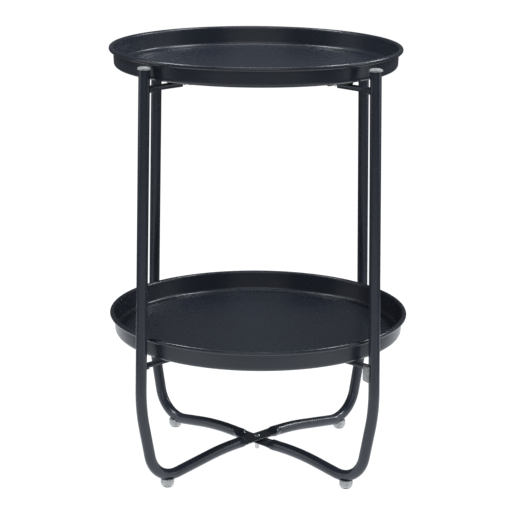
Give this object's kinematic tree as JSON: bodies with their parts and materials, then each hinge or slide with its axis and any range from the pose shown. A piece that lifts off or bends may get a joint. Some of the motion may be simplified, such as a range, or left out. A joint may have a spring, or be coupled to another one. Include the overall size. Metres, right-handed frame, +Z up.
{
  "type": "folding side table",
  "caption": "Folding side table: removable round rimmed trays, one above the other, on crossed U-shaped steel tube frames that pivot on a bolt.",
  "frame": {"origin": "on the floor, under the pivot bolt at the middle of the crossed frames", "axes": "+Z up along the pivot bolt; -Y is the front; the legs stand on the diagonals between the axes"},
  "size_m": [0.4368, 0.4368, 0.622],
  "materials": {
    "tray_coating": "satin blue-black powder coat on pressed sheet",
    "frame_coating": "satin blue-black powder coat on tube",
    "rest_nylon": "black moulded, matte",
    "foot_nylon": "translucent light grey moulded",
    "cap_nylon": "light grey moulded, satin",
    "zinc_steel": "bright zinc plate"
  },
  "bodies": {
    "frame_a": {"frame_a_tube": "frame_coating", "leg_cap_front_left": "cap_nylon", "foot_front_left": "foot_nylon", "upper_arm_front_left": "frame_coating", "upper_rest_front_left": "rest_nylon", "upper_rivet_front_left": "zinc_steel", "lower_arm_front_left": "frame_coating", "lower_rest_front_left": "rest_nylon", "lower_rivet_front_left": "zinc_steel", "leg_cap_rear_right": "cap_nylon", "foot_rear_right": "foot_nylon", "upper_arm_rear_right": "frame_coating", "upper_rest_rear_right": "rest_nylon", "upper_rivet_rear_right": "zinc_steel", "lower_arm_rear_right": "frame_coating", "lower_rest_rear_right": "rest_nylon", "lower_rivet_rear_right": "zinc_steel", "pivot_bolt": "zinc_steel", "pivot_washer": "zinc_steel", "pivot_nut": "zinc_steel"},
    "frame_b": {"frame_b_tube": "frame_coating", "leg_cap_front_right": "cap_nylon", "foot_front_right": "foot_nylon", "upper_arm_front_right": "frame_coating", "upper_rest_front_right": "rest_nylon", "upper_rivet_front_right": "zinc_steel", "lower_arm_front_right": "frame_coating", "lower_rest_front_right": "rest_nylon", "lower_rivet_front_right": "zinc_steel", "leg_cap_rear_left": "cap_nylon", "foot_rear_left": "foot_nylon", "upper_arm_rear_left": "frame_coating", "upper_rest_rear_left": "rest_nylon", "upper_rivet_rear_left": "zinc_steel", "lower_arm_rear_left": "frame_coating", "lower_rest_rear_left": "rest_nylon", "lower_rivet_rear_left": "zinc_steel", "leg_clip": "cap_nylon"},
    "upper_tray": {"upper_tray": "tray_coating"},
    "lower_tray": {"lower_tray": "tray_coating"}
  },
  "joints": [
    {"name": "frame_fold", "type": "hinge", "parent": "frame_a", "child": "frame_b", "pos_m": [0, 0, 0.0286], "axis": [0, 0, 1], "range_deg": [-44, 44]},
    {"name": "upper_tray_lift", "type": "slide", "parent": "frame_a", "child": "upper_tray", "axis": [0, 0, 1], "range_m": [0, 0.15]},
    {"name": "lower_tray_lift", "type": "slide", "parent": "frame_a", "child": "lower_tray", "axis": [0, 0, 1], "range_m": [0, 0.12]}
  ]
}
